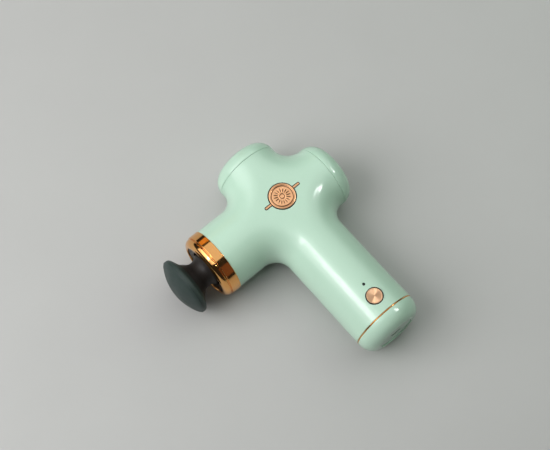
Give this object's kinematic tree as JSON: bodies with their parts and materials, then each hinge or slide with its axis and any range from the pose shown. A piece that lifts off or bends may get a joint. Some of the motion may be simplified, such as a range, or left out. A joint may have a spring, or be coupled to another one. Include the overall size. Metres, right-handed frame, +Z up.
{
  "type": "massage gun",
  "caption": "Pocket percussion massager with a cross-shaped round body, domed lobes, a straight handle, a metal nose ring and a push-in mushroom head on a motor-driven piston.",
  "frame": {"origin": "middle of the bounding box's base, with the body lying on its side", "axes": "+Z up, out of the side with the button; +Y along the handle towards the top lobe; -X along the nose towards the massage head"},
  "size_m": [0.1358, 0.157, 0.0459],
  "materials": {
    "mint_shell": "smooth high-gloss pale mint",
    "rose_gold": "polished, anodised rose gold",
    "rose_gold_spun": "spun radial brush, anodised rose gold",
    "rose_gold_satin": "satin, anodised rose gold",
    "silicone": "satin slate green silicone",
    "seal_rubber": "matt black",
    "black_plastic": "fine moulded black",
    "nylon": "glass-filled nylon",
    "light_pipe": "smoked clear",
    "cast_frame": "die cast",
    "steel": "ground",
    "bearing_steel": "ground and polished",
    "screw_steel": "black oxide",
    "crank_steel": "machined",
    "bronze": "sintered bronze",
    "lamination": "stacked sheet",
    "copper": "enamelled wire",
    "magnet": "plated",
    "cell_wrap": "shrink-wrapped can",
    "tab": "plated strip",
    "board": "solder mask",
    "chip": "moulded",
    "connector": "moulded",
    "wire": "insulated"
  },
  "bodies": {
    "housing": {"upper_housing": "mint_shell", "lower_housing": "mint_shell", "screw_plugs": "mint_shell", "rear_cap": "mint_shell", "top_cap": "mint_shell", "handle_cap": "mint_shell", "handle_end_plate": "mint_shell", "handle_ring": "rose_gold", "nose_ring": "rose_gold", "badge_rim": "rose_gold_satin", "badge_disc": "rose_gold_satin", "badge_gasket": "seal_rubber", "button_bezel": "black_plastic", "nose_collar": "black_plastic", "wiper_seal": "seal_rubber", "guide_sleeve": "bronze", "rear_bush": "bronze", "sleeve_carrier": "nylon", "drive_frame": "cast_frame", "frame_grommets": "seal_rubber", "stator_core": "lamination", "stator_coils": "copper", "motor_bearings": "bearing_steel", "housing_screws": "screw_steel", "board_screws": "screw_steel", "cap_screws": "screw_steel", "battery_cells": "cell_wrap", "battery_tabs": "tab", "battery_tray": "nylon", "main_board": "board", "board_parts": "chip", "motor_plug": "connector", "motor_leads": "wire", "switch_body": "chip", "led_chip": "connector", "led_lens": "light_pipe", "charging_board": "board", "charging_port": "bearing_steel", "charging_port_tongue": "black_plastic"},
    "rotor": {"rotor_can": "cast_frame", "rotor_magnets": "magnet", "motor_shaft": "bearing_steel", "crank": "crank_steel", "roller_inner_race": "bearing_steel", "roller_clip": "screw_steel"},
    "roller": {"roller_outer_race": "bearing_steel"},
    "piston": {"yoke": "cast_frame", "yoke_pin": "bearing_steel", "piston_tube": "steel", "guide_rod": "bearing_steel"},
    "head": {"head_core": "nylon", "head_o_rings": "seal_rubber", "head_pad": "silicone"},
    "button": {"power_button": "rose_gold_spun", "switch_plunger": "black_plastic"}
  },
  "joints": [
    {"name": "crank_turn", "type": "hinge", "parent": "housing", "child": "rotor", "pos_m": [0.0224, 0.03295, 0.0229], "axis": [0, 1, 0], "range_deg": [-90, 90]},
    {"name": "roller_turn", "type": "hinge", "parent": "rotor", "child": "roller", "pos_m": [0.0224, 0.03295, 0.0264], "axis": [0, 1, 0], "range_deg": [-90, 90]},
    {"name": "piston_slide", "type": "slide", "parent": "housing", "child": "piston", "axis": [1, 0, 0], "range_m": [-0.0035, 0.0035]},
    {"name": "head_pull", "type": "slide", "parent": "piston", "child": "head", "axis": [-1, 0, 0], "range_m": [0, 0.03]},
    {"name": "button_press", "type": "slide", "parent": "housing", "child": "button", "axis": [0, 0, -1], "range_m": [0, 0.0006], "stiffness_N_per_m": 1000}
  ],
  "couplings": [
    {"joint": "crank_turn", "follows": "piston_slide", "rad_per_m": 448.79},
    {"joint": "roller_turn", "follows": "piston_slide", "rad_per_m": -448.79}
  ]
}
